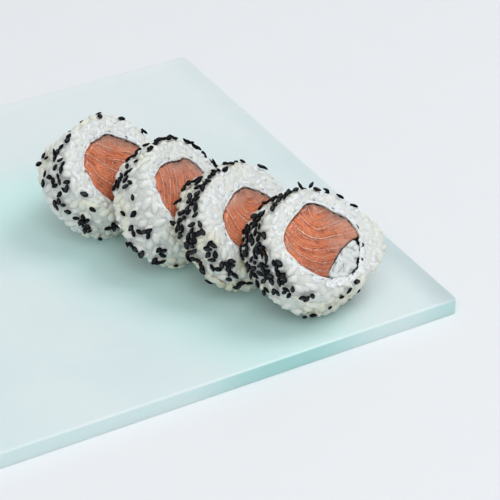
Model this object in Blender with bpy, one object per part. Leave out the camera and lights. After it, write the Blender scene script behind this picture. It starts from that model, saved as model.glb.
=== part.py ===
# Uramaki rolls on a flat glass serving plate.
# Four inside-out roll pieces lean one on the next along the right half of the plate.
# Metres, +Z up. The origin is the centre of the plate's underside, +X runs along the plate.
import math

import bmesh
import bpy
from mathutils import Matrix, Vector

# Plate
PLATE_LENGTH = 0.300
PLATE_WIDTH = 0.200
PLATE_THICKNESS = 0.006
PLATE_CORNER_RADIUS = 0.0014
PLATE_TOP_ROUND = 0.0006
PLATE_FOOT_ROUND = 0.0002

# Food
GAP = 0.0003
NORI_THICKNESS = 0.0005
SEGMENTS = 60
SOFT_TURN = math.radians(3.0)
FRONT_RIM_ROUND = 0.0030
BACK_RIM_ROUND = 0.0018

# The rice outlines are twelve radii in millimetres, one every 30 degrees round the roll's axis,
# starting at its right side and going over its top. The wrap is given the same way.
# The salmon is a cut block with straight sides: its corners, in millimetres to the right of
# the axis and above it, going round the same way.
# back_centre is the middle of the back face in millimetres, heading and tilt are the
# direction that the front face looks in, in degrees.
ROLLS = [
    {
        "name": "roll_1",
        "back_centre": (63.1, 10.1, 19.9),
        "heading": -62.0,
        "tilt": 47.0,
        "thickness": 18.3,
        "front": (22.8, 22.0, 20.8, 18.9, 20.6, 22.2, 22.4, 22.0, 21.4, 20.6, 21.4, 22.6),
        "back": (22.4, 22.0, 20.7, 18.8, 21.6, 23.2, 23.6, 24.0, 23.0, 21.7, 21.6, 22.2),
        "salmon": (
            (13.6, -1.6), (9.8, 4.0), (5.4, 9.1), (-4.0, 9.6), (-8.8, 7.8), (-13.0, 4.2),
            (-13.4, -0.8), (-14.2, -3.4), (-12.6, -9.2), (-6.0, -10.6), (3.0, -9.2), (12.2, -6.6),
        ),
    },
    {
        "name": "roll_2",
        "back_centre": (75.0, -18.9, 20.3),
        "heading": -49.0,
        "tilt": 45.0,
        "thickness": 18.2,
        "front": (22.6, 22.4, 20.8, 20.2, 21.4, 21.4, 21.0, 21.2, 20.8, 20.4, 21.4, 22.6),
        "back": (22.4, 22.2, 21.6, 20.6, 20.6, 22.4, 24.6, 25.0, 23.4, 21.6, 21.4, 22.2),
        "salmon": (
            (12.4, -1.8), (12.3, 2.6), (10.9, 5.7), (6.2, 7.6), (2.8, 9.8), (-0.4, 10.8),
            (-5.0, 11.5), (-7.9, 10.7), (-10.5, 10.5), (-12.7, 7.6), (-15.0, 4.2), (-16.6, 2.0),
            (-16.4, -1.4), (-12.6, -8.6), (-6.0, -10.6), (3.0, -9.4), (11.0, -7.0),
        ),
    },
    {
        "name": "roll_3",
        "back_centre": (90.3, -44.7, 20.9),
        "heading": -63.0,
        "tilt": 47.5,
        "thickness": 15.4,
        "front": (23.0, 22.6, 21.8, 20.6, 21.2, 22.8, 22.2, 22.0, 21.8, 21.8, 22.4, 23.4),
        "back": (22.4, 22.4, 22.0, 23.0, 22.8, 22.4, 23.2, 24.6, 23.2, 23.1, 22.3, 22.4),
        "salmon": (
            (11.4, 0.2), (9.4, 3.9), (7.1, 6.7), (5.3, 8.5), (-0.1, 9.2), (-4.0, 8.1),
            (-8.0, 6.6), (-11.2, 4.2), (-13.2, 1.6), (-14.8, -2.4), (-12.4, -7.6), (-6.0, -10.2),
            (3.0, -9.2), (11.0, -6.8),
        ),
    },
    {
        "name": "roll_4",
        "back_centre": (102.9, -69.4, 19.3),
        "heading": -64.5,
        "tilt": 52.5,
        "thickness": 18.2,
        "front": (23.8, 21.6, 20.2, 19.8, 21.0, 22.8, 22.2, 22.0, 21.0, 21.2, 23.6, 29.3),
        "back": (22.4, 22.0, 21.6, 22.2, 22.8, 22.8, 22.8, 22.9, 22.6, 22.4, 21.8, 24.6),
        "salmon": (
            (14.2, -2.0), (10.5, 4.4), (8.9, 8.4), (5.6, 11.1), (-0.8, 10.8), (-5.0, 9.9),
            (-12.0, 7.7), (-15.5, 5.4), (-15.9, 2.4), (-14.8, -2.4), (-13.2, -7.4), (-9.6, -10.9),
            (-3.0, -9.0), (3.0, -7.4), (8.6, -7.0), (13.2, -7.5),
        ),
        "wrap": (13.6, 12.0, 12.8, 11.6, 12.6, 15.8, 16.2, 16.2, 15.9, 16.4, 15.6, 15.2),
    },
]


def material(name, colour, roughness, transmission=0.0):
    slot = bpy.data.materials.new(name)
    slot.use_nodes = True
    shader = slot.node_tree.nodes["Principled BSDF"]
    shader.inputs["Base Color"].default_value = (colour[0], colour[1], colour[2], 1.0)
    shader.inputs["Roughness"].default_value = roughness
    shader.inputs["Metallic"].default_value = 0.0
    shader.inputs["Transmission Weight"].default_value = transmission
    return slot


def add_object(name, mesh_data, slot):
    mesh = bpy.data.meshes.new(name)
    mesh_data.to_mesh(mesh)
    mesh_data.free()
    mesh.materials.append(slot)
    obj = bpy.data.objects.new(name, mesh)
    bpy.context.scene.collection.objects.link(obj)
    return obj


def radius_at(radii, angle):
    """Smooth closed curve through the twelve radii, in metres."""
    count = len(radii)
    place = (angle / (2.0 * math.pi)) * count
    first = math.floor(place)
    t = place - first
    a = radii[(first - 1) % count]
    b = radii[first % count]
    c = radii[(first + 1) % count]
    d = radii[(first + 2) % count]
    curve = b + 0.5 * t * (c - a + t * (2 * a - 5 * b + 4 * c - d + t * (3 * (b - c) + d - a)))
    return curve / 1000.0


def corner_radius(corners, angle):
    """Where a line from the axis meets the straight side between two corners, in metres."""
    x, y = math.cos(angle), math.sin(angle)
    for (ax, ay), (bx, by) in zip(corners, corners[1:] + corners[:1]):
        before = x * ay - y * ax
        after = x * by - y * bx
        if before <= 0.0 < after:
            share = before / (before - after)
            return math.hypot(ax + (bx - ax) * share, ay + (by - ay) * share) / 1000.0
    raise ValueError("the corners don't go round the axis")


def salmon_radius(roll, angle):
    """The block's side, with its corners slightly softened."""
    near = [corner_radius(roll["salmon"], angle + step) for step in (-SOFT_TURN, 0.0, SOFT_TURN)]
    return (near[0] + 2.0 * near[1] + near[2]) / 4.0


def wrap_radius(roll, angle):
    """Outside of the nori: close round the salmon, wider where it also holds some rice."""
    steps = (-2.0 * SOFT_TURN, -SOFT_TURN, 0.0, SOFT_TURN, 2.0 * SOFT_TURN)
    radius = max(salmon_radius(roll, angle + step) for step in steps) + GAP + NORI_THICKNESS
    if "wrap" in roll:
        radius = max(radius, radius_at(roll["wrap"], angle))
    return radius


def wrap_outline(roll, offset, height):
    points = []
    for step in range(SEGMENTS):
        angle = 2.0 * math.pi * step / SEGMENTS
        radius = wrap_radius(roll, angle) + offset
        points.append(Vector((radius * math.cos(angle), radius * math.sin(angle), height)))
    return points


def salmon_outline(roll, offset, height):
    points = []
    for step in range(SEGMENTS):
        angle = 2.0 * math.pi * step / SEGMENTS
        radius = salmon_radius(roll, angle) + offset
        points.append(Vector((radius * math.cos(angle), radius * math.sin(angle), height)))
    return points


def outline(radii, offset, height):
    points = []
    for step in range(SEGMENTS):
        angle = 2.0 * math.pi * step / SEGMENTS
        radius = radius_at(radii, angle) + offset
        points.append(Vector((radius * math.cos(angle), radius * math.sin(angle), height)))
    return points


def blend(back, front, amount):
    return [b + (f - b) * amount for b, f in zip(back, front)]


def add_rings(mesh_data, rings):
    """Join the rings one after another with quads and return them as vertices."""
    rows = [[mesh_data.verts.new(point) for point in ring] for ring in rings]
    for lower, upper in zip(rows, rows[1:]):
        bridge(mesh_data, lower, upper)
    return rows


def bridge(mesh_data, lower, upper):
    count = len(lower)
    for step in range(count):
        after = (step + 1) % count
        mesh_data.faces.new((lower[step], lower[after], upper[after], upper[step]))


def ring_solid(outer_rings, inner_rings):
    """Tube with a wall: up the outside, over the front, down the inside and closed."""
    mesh_data = bmesh.new()
    rows = add_rings(mesh_data, outer_rings + inner_rings)
    bridge(mesh_data, rows[-1], rows[0])
    bmesh.ops.recalc_face_normals(mesh_data, faces=mesh_data.faces)
    return mesh_data


def block_solid(rings):
    """Solid block: rings up the outside, closed by a fan at each end."""
    mesh_data = bmesh.new()
    rows = add_rings(mesh_data, rings)
    for row in (rows[0], rows[-1]):
        middle = mesh_data.verts.new((0.0, 0.0, row[0].co.z))
        for step in range(len(row)):
            after = (step + 1) % len(row)
            mesh_data.faces.new((row[step], row[after], middle))
    bmesh.ops.recalc_face_normals(mesh_data, faces=mesh_data.faces)
    return mesh_data


def rice_ring(roll):
    depth = roll["thickness"] / 1000.0
    profile = [
        (0.0, -BACK_RIM_ROUND),
        (BACK_RIM_ROUND * 0.35, -BACK_RIM_ROUND * 0.35),
        (BACK_RIM_ROUND * 1.2, 0.0),
        (depth * 0.5, 0.0004),
        (depth - FRONT_RIM_ROUND, 0.0),
        (depth - FRONT_RIM_ROUND * 0.35, -FRONT_RIM_ROUND * 0.3),
        (depth, -FRONT_RIM_ROUND),
    ]
    outer = []
    for height, inset in profile:
        radii = blend(roll["back"], roll["front"], height / depth)
        outer.append(outline(radii, inset, height))
    inner = [wrap_outline(roll, GAP, depth), wrap_outline(roll, GAP, 0.0)]
    return ring_solid(outer, inner)


def nori_tube(roll):
    depth = roll["thickness"] / 1000.0
    outer = [wrap_outline(roll, 0.0, 0.0), wrap_outline(roll, 0.0, depth)]
    inner = [
        wrap_outline(roll, -NORI_THICKNESS, depth),
        wrap_outline(roll, -NORI_THICKNESS, 0.0),
    ]
    return ring_solid(outer, inner)


def salmon_block(roll):
    depth = roll["thickness"] / 1000.0
    rings = [
        salmon_outline(roll, -0.0005, 0.0),
        salmon_outline(roll, 0.0, 0.0006),
        salmon_outline(roll, 0.0, depth - 0.0008),
        salmon_outline(roll, -0.0007, depth),
    ]
    return block_solid(rings)


def pocket_rice(roll, first_angle, last_angle, steps):
    """Rice between the salmon's lower edge and the nori that wraps both."""
    depth = roll["thickness"] / 1000.0
    mesh_data = bmesh.new()
    corners = []
    for step in range(steps + 1):
        angle = math.radians(first_angle + (last_angle - first_angle) * step / steps)
        direction = Vector((math.cos(angle), math.sin(angle), 0.0))
        far = wrap_radius(roll, angle) - NORI_THICKNESS - GAP
        near = salmon_radius(roll, angle) + GAP
        row = []
        for radius, height in ((near, 0.0), (far, 0.0), (far, depth), (near, depth)):
            row.append(mesh_data.verts.new(direction * radius + Vector((0.0, 0.0, height))))
        corners.append(row)
    for row, after in zip(corners, corners[1:]):
        bridge(mesh_data, row, after)
    mesh_data.faces.new(corners[0])
    mesh_data.faces.new(corners[-1])
    bmesh.ops.recalc_face_normals(mesh_data, faces=mesh_data.faces)
    return mesh_data


def place(obj, roll):
    obj.location = Vector(roll["back_centre"]) / 1000.0
    obj.rotation_euler = (
        math.radians(90.0 - roll["tilt"]),
        0.0,
        math.radians(90.0 + roll["heading"]),
    )


def press_on(obj, matrix, point, normal):
    """Flatten whatever lies behind a plane onto it, as soft rice is where it rests."""
    back = matrix.inverted()
    for vertex in obj.data.vertices:
        world = matrix @ vertex.co
        depth = (world - point).dot(normal)
        if depth < 0.0:
            vertex.co = back @ (world - normal * depth)


def roll_matrix(roll):
    turn = Matrix.Rotation(math.radians(90.0 + roll["heading"]), 4, "Z")
    lean = Matrix.Rotation(math.radians(90.0 - roll["tilt"]), 4, "X")
    return Matrix.Translation(Vector(roll["back_centre"]) / 1000.0) @ turn @ lean


def glass_plate(slot):
    mesh_data = bmesh.new()
    bmesh.ops.create_cube(mesh_data, size=1.0)
    bmesh.ops.scale(mesh_data, vec=(PLATE_LENGTH, PLATE_WIDTH, PLATE_THICKNESS), verts=mesh_data.verts)
    bmesh.ops.translate(mesh_data, vec=(0.0, 0.0, PLATE_THICKNESS / 2.0), verts=mesh_data.verts)
    uprights = [e for e in mesh_data.edges if abs(e.verts[0].co.z - e.verts[1].co.z) > 0.001]
    bmesh.ops.bevel(
        mesh_data,
        geom=uprights,
        offset=PLATE_CORNER_RADIUS,
        segments=6,
        profile=0.5,
        affect="EDGES",
    )
    for height, rounding in ((PLATE_THICKNESS, PLATE_TOP_ROUND), (0.0, PLATE_FOOT_ROUND)):
        rim = [e for e in mesh_data.edges if all(abs(v.co.z - height) < 0.0001 for v in e.verts)]
        bmesh.ops.bevel(
            mesh_data,
            geom=rim,
            offset=rounding,
            segments=2,
            profile=0.5,
            affect="EDGES",
        )
    return add_object("glass_plate", mesh_data, slot)


for old in list(bpy.data.objects):
    bpy.data.objects.remove(old)

glass = material("frosted_glass", (0.72, 0.84, 0.84), 0.35, 0.6)
rice = material("rice", (0.84, 0.84, 0.79), 0.45)
nori = material("nori", (0.012, 0.014, 0.012), 0.5)
salmon = material("salmon", (0.80, 0.30, 0.16), 0.35)

glass_plate(glass)

plate_top = Vector((0.0, 0.0, PLATE_THICKNESS + GAP))
up = Vector((0.0, 0.0, 1.0))
behind = None

for roll in ROLLS:
    pieces = [
        add_object(roll["name"] + "_rice", rice_ring(roll), rice),
        add_object(roll["name"] + "_nori", nori_tube(roll), nori),
        add_object(roll["name"] + "_salmon", salmon_block(roll), salmon),
    ]
    if "wrap" in roll:
        pocket = pocket_rice(roll, 234.0, 321.0, 10)
        pieces.append(add_object(roll["name"] + "_pocket_rice", pocket, rice))
    matrix = roll_matrix(roll)
    for piece in pieces:
        place(piece, roll)
    press_on(pieces[0], matrix, plate_top, up)
    if behind is not None:
        for piece in pieces:
            press_on(piece, matrix, behind[0], behind[1])
    face = matrix.to_3x3() @ up
    behind = (matrix @ Vector((0.0, 0.0, roll["thickness"] / 1000.0)) + face * GAP, face)

for obj in bpy.data.objects:
    obj.data.shade_smooth()
    obj.data.set_sharp_from_angle(angle=math.radians(35.0))
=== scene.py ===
import bpy
import math
import numpy as np
from mathutils import Matrix, Vector, noise
from mathutils.bvhtree import BVHTree


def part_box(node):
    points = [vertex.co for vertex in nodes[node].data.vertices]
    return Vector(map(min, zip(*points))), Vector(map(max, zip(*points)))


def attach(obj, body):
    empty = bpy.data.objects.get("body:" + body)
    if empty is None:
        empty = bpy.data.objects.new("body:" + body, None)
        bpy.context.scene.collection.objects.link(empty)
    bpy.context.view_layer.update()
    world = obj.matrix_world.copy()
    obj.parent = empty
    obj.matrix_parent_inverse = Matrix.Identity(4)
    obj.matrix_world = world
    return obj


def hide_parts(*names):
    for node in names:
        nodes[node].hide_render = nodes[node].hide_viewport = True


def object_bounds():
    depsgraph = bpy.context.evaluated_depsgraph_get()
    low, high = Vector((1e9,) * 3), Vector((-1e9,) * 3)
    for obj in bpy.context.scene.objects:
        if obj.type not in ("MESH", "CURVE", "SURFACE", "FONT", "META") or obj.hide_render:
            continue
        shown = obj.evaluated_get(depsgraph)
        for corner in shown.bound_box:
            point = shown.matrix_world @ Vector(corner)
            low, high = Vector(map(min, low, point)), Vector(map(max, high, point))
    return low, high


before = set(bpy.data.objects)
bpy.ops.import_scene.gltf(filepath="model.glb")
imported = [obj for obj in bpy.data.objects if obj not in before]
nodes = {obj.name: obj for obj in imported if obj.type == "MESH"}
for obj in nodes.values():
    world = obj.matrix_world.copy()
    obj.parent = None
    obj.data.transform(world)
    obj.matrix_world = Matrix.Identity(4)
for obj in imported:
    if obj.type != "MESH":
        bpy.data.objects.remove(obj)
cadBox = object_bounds()


# ---- small helpers used all the way down ----

def deselectAll():
    for other in bpy.context.selected_objects:
        other.select_set(False)


def makeActive(piece):
    deselectAll()
    piece.select_set(True)
    bpy.context.view_layer.objects.active = piece


def applyAll(piece):
    makeActive(piece)
    for modifier in list(piece.modifiers):
        bpy.ops.object.modifier_apply(modifier=modifier.name)


def settle(piece, materials, standsFor=()):
    piece.data.materials.clear()
    for material in materials:
        piece.data.materials.append(material)
    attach(piece, "root")
    if standsFor:
        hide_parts(*standsFor)


def pointsOf(mesh):
    flat = np.zeros(len(mesh.vertices) * 3, np.float32)
    mesh.vertices.foreach_get("co", flat)
    return flat.reshape(-1, 3).astype(float)


def setPoints(mesh, points):
    mesh.vertices.foreach_set("co", points.astype(np.float32).ravel())
    mesh.update()


def setValues(mesh, name, values):
    layer = mesh.attributes.get(name) or mesh.attributes.new(name, "FLOAT", "POINT")
    layer.data.foreach_set("value", values.astype(np.float32))


def setVectors(mesh, name, vectors):
    layer = mesh.attributes.get(name) or mesh.attributes.new(name, "FLOAT_VECTOR", "POINT")
    layer.data.foreach_set("vector", vectors.astype(np.float32).ravel())


def smoothStep(values, low, high):
    t = np.clip((values - low) / (high - low), 0.0, 1.0)
    return t * t * (3.0 - 2.0 * t)


# ---- where each roll lies: middle of its back face, which way its cut face looks ----
# seeds: angle round the roll from its right side over the top, depth from the back face in mm,
# how many, and how far they spread in degrees and mm

rolls = {
    "roll_1": {
        "centre": (0.0631, 0.0101, 0.0199), "heading": -62.0, "tilt": 47.0, "depth": 0.0183,
        "darkRedAndShade": 0.5, "paleSide": 40.0, "paleBand": 0.0065, "sideShade": 0.04,
        "swollen": (0, 30, 0),
        "fatLines": [
            [(-1.1, 9.4), (0.3, 7.3), (1.8, 5.3), (3.3, 3.8), (5.7, 2.0)],
            [(-4.2, 9.3), (-3.9, 7.4), (-3.2, 5.2), (-2.1, 3.4), (-0.4, 1.5), (2.4, -0.5)],
            [(-8.0, 7.8), (-6.8, 5.8), (-5.9, 3.8), (-5.1, 1.7), (-4.1, -0.2), (-2.8, -1.9)],
            [(-10.5, 5.2), (-10.7, 2.6), (-10.4, 0.7), (-10.1, -1.3), (-9.1, -3.2), (-8.4, -4.8)],
            [(-12.9, 3.3), (-12.7, 0.3), (-12.4, -2.0), (-11.6, -4.2)],
        ],
        "seeds": [
            (129, 5, 3, 9, 3), (138, 14, 3, 6, 2), (151, 15, 3, 5, 2.4), (152, 6, 3, 6, 3),
            (160, 12, 4, 5, 2.4), (170, 14, 4, 4, 3), (171, 7, 3, 6, 3), (185, 6, 3, 6, 3),
            (201, 9, 6, 5, 2), (212, 7, 4, 5, 3), (229, 11, 4, 5, 2), (228, 2, 2, 6, 1),
            (120, 17.3, 4, 8, 0.4), (64, 17.9, 1, 0, 0), (35, 18.0, 1, 0, 0), (7, 17.4, 1, 0, 0),
            (186, 17.5, 1, 0, 0), (202, 15.7, 1, 0, 0),
        ],
        "rimRows": [(126, 114, 4)], "standing": [],
    },
    "roll_2": {
        "centre": (0.0750, -0.0189, 0.0203), "heading": -49.0, "tilt": 45.0, "depth": 0.0182,
        "darkRedAndShade": 0.4, "paleSide": 40.0, "paleBand": 0.0065, "sideShade": 0.04,
        "swollen": (172, 28, 0.7),
        "fatLines": [
            [(10.9, 4.6), (9.4, 2.3), (8.3, 0.1)],
            [(7.6, 6.1), (6.0, 3.6), (4.4, 1.6)],
            [(5.0, 7.2), (2.3, 4.0), (-0.9, 1.6)],
            [(1.9, 8.8), (-0.8, 6.2), (-3.9, 3.9), (-7.1, 2.0)],
            [(-1.8, 9.9), (-3.9, 7.3), (-8.0, 4.7), (-12.4, 2.6)],
            [(-6.0, 11.0), (-9.0, 8.0), (-13.0, 5.4)],
        ],
        "seeds": [
            (90, 8, 7, 8, 4), (112, 12, 6, 6, 3), (118, 6, 7, 6, 3),
            (128, 11, 3, 5, 3), (146, 11.4, 1, 0, 0), (153, 5, 1, 0, 0), (160, 10.5, 2, 4, 2),
            (171, 6, 3, 4, 2), (180, 10, 3, 4, 1), (180, 1.6, 5, 5, 1), (189, 1.4, 5, 4, 1),
            (199, 7, 4, 4, 2), (205, 3.2, 3, 4, 1), (223, 4, 1, 0, 0), (187, 17.6, 2, 4, 0.4),
        ],
        "rimRows": [(96, 40, 15), (33, 12, 5), (8, -12, 5), (66, 46, 4)], "standing": [],
    },
    "roll_3": {
        "centre": (0.0903, -0.0447, 0.0209), "heading": -63.0, "tilt": 47.5, "depth": 0.0154,
        "darkRedAndShade": 0.45, "paleSide": 70.0, "paleBand": 0.0060, "sideShade": 0.16,
        "swollen": (152, 30, 1.8),
        "fatLines": [
            [(0.6, 6.6), (1.0, 4.2), (2.6, 2.8), (4.7, 2.3), (7.0, 2.3)],
            [(-1.6, 6.8), (-1.8, 4.1), (-1.6, 2.1), (0.2, 0.7), (3.4, 0.0)],
            [(-5.0, 6.8), (-4.9, 4.6), (-5.0, 2.6), (-4.6, 0.5), (-2.8, -1.4), (1.0, -2.4)],
            [(-8.1, 6.0), (-8.9, 2.8), (-9.4, 1.0), (-9.2, -1.2), (-7.0, -3.6)],
            [(-11.6, 4.4), (-12.2, 1.6), (-12.2, -0.8), (-11.0, -3.4)],
        ],
        "seeds": [
            (102, 4, 4, 6, 2.4), (106, 11, 6, 6, 2), (80, 15.1, 1, 0, 0), (120, 13, 5, 6, 1.4),
            (120, 4, 3, 5, 2), (132, 12, 7, 6, 1.8), (141, 7, 4, 5, 2), (144, 12, 6, 5, 2),
            (155, 12, 3, 4, 2), (152, 6, 6, 5, 3), (162, 11, 6, 4, 3), (169, 6, 5, 5, 3),
            (176, 12.5, 6, 5, 2), (177, 4, 6, 5, 2.4), (186, 11, 6, 4, 2), (187, 4, 3, 3, 2),
            (194, 9, 5, 4, 2), (200, 12, 7, 4, 2), (210, 9, 4, 4, 2), (200, 1.4, 3, 3, 0.6),
            (226, 6, 4, 5, 3),
        ],
        "rimRows": [(122, 86, 9), (75, 66, 3), (53, 51, 1), (33, 27, 2)], "standing": [],
    },
    "roll_4": {
        "centre": (0.1029, -0.0694, 0.0193), "heading": -64.5, "tilt": 52.5, "depth": 0.0182,
        "darkRedAndShade": 0.4, "paleSide": -25.0, "paleBand": 0.0110, "sideShade": 0.08,
        "swollen": (0, 30, 0),
        "fatLines": [
            [(3.4, 9.9), (2.3, 7.2), (3.4, 5.2), (6.2, 4.0), (9.5, 3.6)],
            [(-1.6, 10.0), (-1.2, 7.0), (-1.0, 5.0), (0.2, 3.1), (3.3, 2.0), (8.0, 1.2)],
            [(-6.0, 9.6), (-6.2, 7.4), (-5.6, 4.6), (-4.2, 2.0), (-1.4, 0.0), (3.0, -1.6)],
            [(-11.4, 7.6), (-11.5, 5.3), (-11.3, 3.3), (-10.4, 1.2), (-8.8, -0.6), (-6.4, -2.3), (-3.0, -3.8)],
            [(-13.5, 6.3), (-14.0, 4.3), (-14.3, 2.4), (-13.8, 0.3), (-12.6, -1.7), (-11.0, -4.2), (-8.3, -6.8), (-4.4, -8.3)],
        ],
        "seeds": [
            (96, 12, 7, 7, 4), (46, 17.6, 2, 2, 0.4), (119, 11, 9, 6, 3.4),
            (128, 7, 8, 6, 4), (131, 13, 7, 5, 2), (140, 9, 8, 5, 4), (144, 15, 3, 4, 1),
            (143, 3, 8, 5, 2.4), (153, 12, 5, 4, 3), (155, 6, 8, 5, 3), (163, 12, 6, 5, 3),
            (166, 4, 7, 5, 2.4), (171, 9, 6, 4, 2.4), (173, 15.6, 3, 3, 0.8), (178, 9, 6, 4, 2.4),
            (184, 12.5, 7, 5, 2), (180, 2.6, 3, 6, 1.6), (188, 6.6, 4, 4, 1.4), (197, 11, 5, 4, 2),
            (213, 13, 4, 4, 2), (234, 5.3, 2, 2, 2), (227, 1.9, 1, 0, 0), (242, 9, 1, 0, 0),
            (247, 14.5, 1, 0, 0), (253, 16.6, 1, 0, 0), (266, 17.7, 1, 0, 0),
        ],
        "rimRows": [(118, 72, 13), (35, 33, 1), (20, 18, 1), (6, 4, 1)], "standing": [(66, 16.9), (63, 17.2), (52, 16.8)],
    },
}
rollNames = sorted(rolls)
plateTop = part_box("glass_plate")[1].z


def treeOf(nodeName, inverse):
    mesh = nodes[nodeName].data
    points = [inverse @ vertex.co for vertex in mesh.vertices]
    return BVHTree.FromPolygons(points, [tuple(face.vertices) for face in mesh.polygons])


for rollName in rollNames:
    roll = rolls[rollName]
    turn = Matrix.Rotation(math.radians(90.0 + roll["heading"]), 4, "Z")
    lean = Matrix.Rotation(math.radians(90.0 - roll["tilt"]), 4, "X")
    roll["matrix"] = Matrix.Translation(Vector(roll["centre"])) @ turn @ lean
    roll["axes"] = np.array(roll["matrix"].to_3x3())
    roll["origin"] = np.array(roll["centre"])
    inverse = roll["matrix"].inverted()
    roll["rice"] = treeOf(rollName + "_rice", inverse)
    roll["nori"] = treeOf(rollName + "_nori", inverse)
    roll["salmon"] = treeOf(rollName + "_salmon", inverse)


def toRoll(roll, points):
    return (points - roll["origin"]) @ roll["axes"]


def toWorld(roll, points):
    return points @ roll["axes"].T + roll["origin"]


def swellAt(roll, angle, height):
    # how far the rice bulges past its solid: an angle, a spread in degrees and mm, less towards the cut
    middle, width, most = roll["swollen"]
    away = np.mod(np.degrees(angle) - middle + 180.0, 360.0) - 180.0
    return 0.001 * most * np.exp(-(away / width) ** 2) * (1.0 - smoothStep(height / roll["depth"], 0.6, 0.97))


def sidePoint(roll, angle, height):
    height = min(max(height, 0.00005), roll["depth"] - 0.00005)
    out = Vector((math.cos(angle), math.sin(angle), 0.0))
    hit = roll["rice"].ray_cast(out * 0.05 + Vector((0.0, 0.0, height)), -out)[0]
    hit = hit if hit is not None else out * 0.021 + Vector((0.0, 0.0, height))
    return hit + out * float(swellAt(roll, angle, height))


def sideNormal(roll, angle, height):
    along = sidePoint(roll, angle + 0.07, height) - sidePoint(roll, angle - 0.07, height)
    up = sidePoint(roll, angle, height + 0.0007) - sidePoint(roll, angle, height - 0.0007)
    return along.cross(up).normalized()


def radiusFrom(tree, angle, height, outwards=True):
    out = Vector((math.cos(angle), math.sin(angle), 0.0))
    start = Vector((0.0, 0.0, height))
    if outwards:
        hit = tree.ray_cast(start, out)[0]
    else:
        hit = tree.ray_cast(start + out * 0.05, -out)[0]
    return 0.013 if hit is None else math.hypot(hit.x, hit.y)


# how far out the hole, the salmon and the rims lie, all the way round
tableAngles = np.radians(np.arange(0, 360, 3))
for rollName in rollNames:
    roll = rolls[rollName]
    middle = roll["depth"] * 0.5
    roll["hole"] = np.array([radiusFrom(roll["rice"], a, middle) for a in tableAngles])
    roll["wrapIn"] = np.array([radiusFrom(roll["nori"], a, middle) for a in tableAngles])
    roll["meat"] = np.array([radiusFrom(roll["salmon"], a, middle, False) for a in tableAngles])
    levels = np.clip(np.linspace(0.0, roll["depth"], 17), 0.00005, roll["depth"] - 0.00005)
    roll["sides"] = np.array([[radiusFrom(roll["rice"], a, level, False) for a in tableAngles] for level in levels])
    roll["sides"] += np.array([swellAt(roll, tableAngles, level) for level in levels])
    top = roll["depth"] - 0.0001
    roll["rim"] = np.array([radiusFrom(roll["rice"], a, top, False) for a in tableAngles])
    roll["backRim"] = np.array([radiusFrom(roll["rice"], a, 0.0001, False) for a in tableAngles])


# rice may lean in over the wrap as far as the fish, or as far as the wrap where a pocket lies inside it
for rollName in rollNames:
    roll = rolls[rollName]
    roll["open"] = roll["wrapIn"] - roll["meat"] > (0.0012 if rollName == "roll_4" else 1.0)
    roll["open"] &= np.abs(tableAngles - math.radians(278.0)) < math.radians(50.0)
    roll["fishEdge"] = np.where(roll["open"], roll["meat"], roll["hole"] - 0.00028)
    roll["mouth"] = np.where(roll["open"], roll["wrapIn"] - 0.0001, roll["fishEdge"] + 0.00005)


def lookUp(roll, table, angles):
    return np.interp(np.mod(angles, 2 * math.pi), tableAngles, roll[table], period=2 * math.pi)


def sideAt(roll, angles, heights):
    # how far out the rice goes at these angles and heights
    place = np.clip(heights / roll["depth"], 0.0, 1.0) * 16.0
    low = np.minimum(place.astype(int), 15)
    turn = np.mod(angles, 2 * math.pi)
    rows = np.array([np.interp(turn, tableAngles, row, period=2 * math.pi) for row in roll["sides"]])
    every = np.arange(len(turn))
    return rows[low, every] * (1.0 - place + low) + rows[low + 1, every] * (place - low)


# ---- materials ----

def newMaterial(name):
    material = bpy.data.materials.new(name)
    material.use_nodes = True
    material.node_tree.nodes.clear()
    output = material.node_tree.nodes.new("ShaderNodeOutputMaterial")
    shader = material.node_tree.nodes.new("ShaderNodeBsdfPrincipled")
    material.node_tree.links.new(shader.outputs[0], output.inputs["Surface"])
    return material, material.node_tree, shader


def node(tree, kind, settings=None, inputs=None):
    made = tree.nodes.new(kind)
    for name, value in (settings or {}).items():
        setattr(made, name, value)
    for name, value in (inputs or {}).items():
        if isinstance(value, bpy.types.NodeSocket):
            tree.links.new(value, made.inputs[name])
        else:
            made.inputs[name].default_value = value
    return made


def math2(tree, operation, a, b=0.0, clamp=False):
    return node(tree, "ShaderNodeMath", {"operation": operation, "use_clamp": clamp}, {0: a, 1: b}).outputs[0]


def objectPoint(tree):
    return node(tree, "ShaderNodeTexCoord").outputs["Object"]


def noiseOf(tree, vector, scale, detail=3.0, roughness=0.55):
    inputs = {"Vector": vector, "Scale": scale, "Detail": detail, "Roughness": roughness}
    return node(tree, "ShaderNodeTexNoise", None, inputs).outputs["Fac"]


def mapRange(tree, value, low, high, newLow=0.0, newHigh=1.0):
    inputs = {"Value": value, "From Min": low, "From Max": high, "To Min": newLow, "To Max": newHigh}
    return node(tree, "ShaderNodeMapRange", {"interpolation_type": "SMOOTHSTEP"}, inputs).outputs[0]


def mixColour(tree, factor, a, b):
    made = node(tree, "ShaderNodeMix", {"data_type": "RGBA"})
    for index, value in ((0, factor), (6, a), (7, b)):
        if isinstance(value, bpy.types.NodeSocket):
            tree.links.new(value, made.inputs[index])
        elif index == 0:
            made.inputs[index].default_value = value
        else:
            made.inputs[index].default_value = (*value, 1.0)
    return made.outputs[2]


def bumpOf(tree, height, strength, distance):
    inputs = {"Height": height, "Strength": strength, "Distance": distance}
    return node(tree, "ShaderNodeBump", None, inputs).outputs["Normal"]


def attribute(tree, name, output="Fac"):
    return node(tree, "ShaderNodeAttribute", {"attribute_name": name}).outputs[output]


def bands(tree, value, stops):
    # a grey ramp through the stops, each a place from 0 to 1 and a brightness
    ramp = node(tree, "ShaderNodeValToRGB", None, {0: value})
    steps = ramp.color_ramp.elements
    while len(steps) < len(stops):
        steps.new(0.5)
    for step, (place, grey) in zip(steps, stops):
        step.position = place
        step.color = (grey, grey, grey, 1.0)
    return ramp.outputs[0]


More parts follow.
